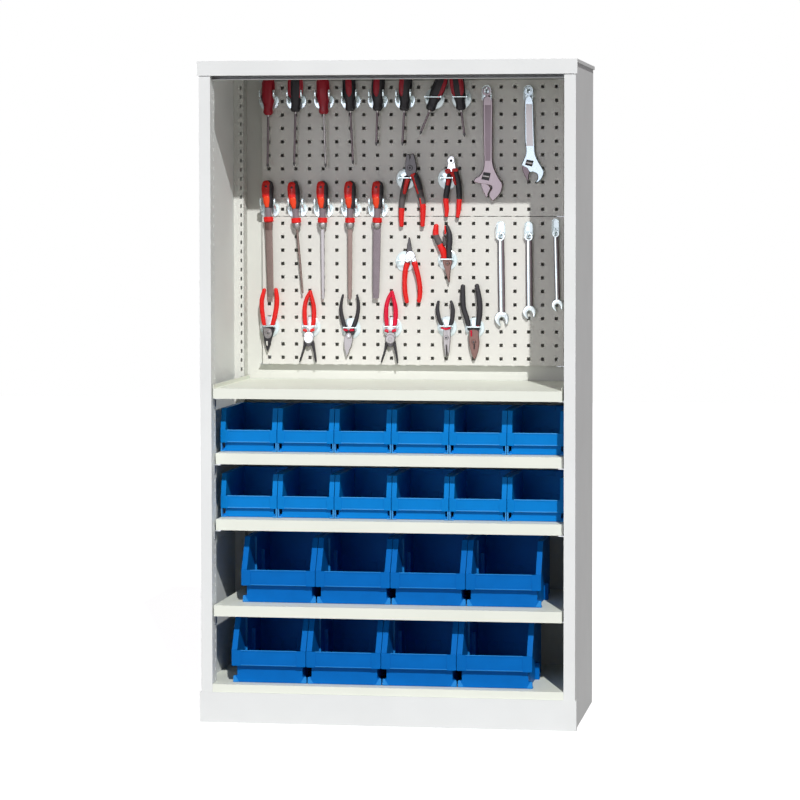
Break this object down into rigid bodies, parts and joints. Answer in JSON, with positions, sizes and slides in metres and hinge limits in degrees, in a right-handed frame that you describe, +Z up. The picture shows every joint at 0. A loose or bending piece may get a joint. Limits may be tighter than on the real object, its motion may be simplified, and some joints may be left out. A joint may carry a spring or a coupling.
{
  "type": "parts organizer cabinet",
  "caption": "Open-fronted steel workshop cabinet with perforated tool panels over a worktop, and shelves of open-fronted plastic bins below.",
  "frame": {"origin": "on the floor under the centre of the bounding box", "axes": "+Z up, +X to the right as seen from the front, +Y to the rear; the open front faces -Y"},
  "size_m": [1, 0.45, 1.74],
  "materials": {
    "carcass_paint": "light grey powder coat, slight sheen",
    "shelf_paint": "light warm grey powder coat, slight sheen",
    "panel_paint": "light warm grey powder coat, slight sheen",
    "zinc": "bright zinc plate",
    "blue_plastic": "moulded polypropylene with a slight sheen"
  },
  "bodies": {
    "cabinet": {"side_panel_right": "carcass_paint", "side_panel_left": "carcass_paint", "back_panel": "carcass_paint", "top_cover": "carcass_paint", "top_rail": "carcass_paint", "plinth_front": "carcass_paint", "plinth_rear": "carcass_paint", "base_deck": "shelf_paint", "upright_front_right": "carcass_paint", "upright_front_left": "carcass_paint", "upright_rear_right": "carcass_paint", "upright_rear_left": "carcass_paint", "bin_shelf_low": "shelf_paint", "bin_shelf_middle": "shelf_paint", "bin_shelf_high": "shelf_paint", "worktop": "shelf_paint", "tool_panel_lower": "panel_paint", "tool_panel_upper": "panel_paint", "clip_bin_shelf_low_front_right": "zinc", "clip_bin_shelf_low_front_left": "zinc", "clip_bin_shelf_low_rear_right": "zinc", "clip_bin_shelf_low_rear_left": "zinc", "clip_bin_shelf_middle_front_right": "zinc", "clip_bin_shelf_middle_front_left": "zinc", "clip_bin_shelf_middle_rear_right": "zinc", "clip_bin_shelf_middle_rear_left": "zinc", "clip_bin_shelf_high_front_right": "zinc", "clip_bin_shelf_high_front_left": "zinc", "clip_bin_shelf_high_rear_right": "zinc", "clip_bin_shelf_high_rear_left": "zinc", "clip_worktop_front_right": "zinc", "clip_worktop_front_left": "zinc", "clip_worktop_rear_right": "zinc", "clip_worktop_rear_left": "zinc", "panel_bracket_bottom_right": "zinc", "panel_bracket_bottom_left": "zinc", "panel_bracket_joint_right": "zinc", "panel_bracket_joint_left": "zinc", "panel_bracket_top_right": "zinc", "panel_bracket_top_left": "zinc"},
    "large_bin_low_1": {"large_bin_low_1": "blue_plastic"},
    "large_bin_low_2": {"large_bin_low_2": "blue_plastic"},
    "large_bin_low_3": {"large_bin_low_3": "blue_plastic"},
    "large_bin_low_4": {"large_bin_low_4": "blue_plastic"},
    "large_bin_high_1": {"large_bin_high_1": "blue_plastic"},
    "large_bin_high_2": {"large_bin_high_2": "blue_plastic"},
    "large_bin_high_3": {"large_bin_high_3": "blue_plastic"},
    "large_bin_high_4": {"large_bin_high_4": "blue_plastic"},
    "small_bin_low_1": {"small_bin_low_1": "blue_plastic"},
    "small_bin_low_2": {"small_bin_low_2": "blue_plastic"},
    "small_bin_low_3": {"small_bin_low_3": "blue_plastic"},
    "small_bin_low_4": {"small_bin_low_4": "blue_plastic"},
    "small_bin_low_5": {"small_bin_low_5": "blue_plastic"},
    "small_bin_low_6": {"small_bin_low_6": "blue_plastic"},
    "small_bin_high_1": {"small_bin_high_1": "blue_plastic"},
    "small_bin_high_2": {"small_bin_high_2": "blue_plastic"},
    "small_bin_high_3": {"small_bin_high_3": "blue_plastic"},
    "small_bin_high_4": {"small_bin_high_4": "blue_plastic"},
    "small_bin_high_5": {"small_bin_high_5": "blue_plastic"},
    "small_bin_high_6": {"small_bin_high_6": "blue_plastic"}
  },
  "joints": [
    {"name": "large_bin_low_1_pull", "type": "slide", "parent": "cabinet", "child": "large_bin_low_1", "axis": [0, -1, 0], "range_m": [0, 0.34]},
    {"name": "large_bin_low_2_pull", "type": "slide", "parent": "cabinet", "child": "large_bin_low_2", "axis": [0, -1, 0], "range_m": [0, 0.34]},
    {"name": "large_bin_low_3_pull", "type": "slide", "parent": "cabinet", "child": "large_bin_low_3", "axis": [0, -1, 0], "range_m": [0, 0.34]},
    {"name": "large_bin_low_4_pull", "type": "slide", "parent": "cabinet", "child": "large_bin_low_4", "axis": [0, -1, 0], "range_m": [0, 0.34]},
    {"name": "large_bin_high_1_pull", "type": "slide", "parent": "cabinet", "child": "large_bin_high_1", "axis": [0, -1, 0], "range_m": [0, 0.37]},
    {"name": "large_bin_high_2_pull", "type": "slide", "parent": "cabinet", "child": "large_bin_high_2", "axis": [0, -1, 0], "range_m": [0, 0.37]},
    {"name": "large_bin_high_3_pull", "type": "slide", "parent": "cabinet", "child": "large_bin_high_3", "axis": [0, -1, 0], "range_m": [0, 0.37]},
    {"name": "large_bin_high_4_pull", "type": "slide", "parent": "cabinet", "child": "large_bin_high_4", "axis": [0, -1, 0], "range_m": [0, 0.37]},
    {"name": "small_bin_low_1_pull", "type": "slide", "parent": "cabinet", "child": "small_bin_low_1", "axis": [0, -1, 0], "range_m": [0, 0.33]},
    {"name": "small_bin_low_2_pull", "type": "slide", "parent": "cabinet", "child": "small_bin_low_2", "axis": [0, -1, 0], "range_m": [0, 0.33]},
    {"name": "small_bin_low_3_pull", "type": "slide", "parent": "cabinet", "child": "small_bin_low_3", "axis": [0, -1, 0], "range_m": [0, 0.33]},
    {"name": "small_bin_low_4_pull", "type": "slide", "parent": "cabinet", "child": "small_bin_low_4", "axis": [0, -1, 0], "range_m": [0, 0.33]},
    {"name": "small_bin_low_5_pull", "type": "slide", "parent": "cabinet", "child": "small_bin_low_5", "axis": [0, -1, 0], "range_m": [0, 0.33]},
    {"name": "small_bin_low_6_pull", "type": "slide", "parent": "cabinet", "child": "small_bin_low_6", "axis": [0, -1, 0], "range_m": [0, 0.33]},
    {"name": "small_bin_high_1_pull", "type": "slide", "parent": "cabinet", "child": "small_bin_high_1", "axis": [0, -1, 0], "range_m": [0, 0.33]},
    {"name": "small_bin_high_2_pull", "type": "slide", "parent": "cabinet", "child": "small_bin_high_2", "axis": [0, -1, 0], "range_m": [0, 0.33]},
    {"name": "small_bin_high_3_pull", "type": "slide", "parent": "cabinet", "child": "small_bin_high_3", "axis": [0, -1, 0], "range_m": [0, 0.33]},
    {"name": "small_bin_high_4_pull", "type": "slide", "parent": "cabinet", "child": "small_bin_high_4", "axis": [0, -1, 0], "range_m": [0, 0.33]},
    {"name": "small_bin_high_5_pull", "type": "slide", "parent": "cabinet", "child": "small_bin_high_5", "axis": [0, -1, 0], "range_m": [0, 0.33]},
    {"name": "small_bin_high_6_pull", "type": "slide", "parent": "cabinet", "child": "small_bin_high_6", "axis": [0, -1, 0], "range_m": [0, 0.33]}
  ]
}
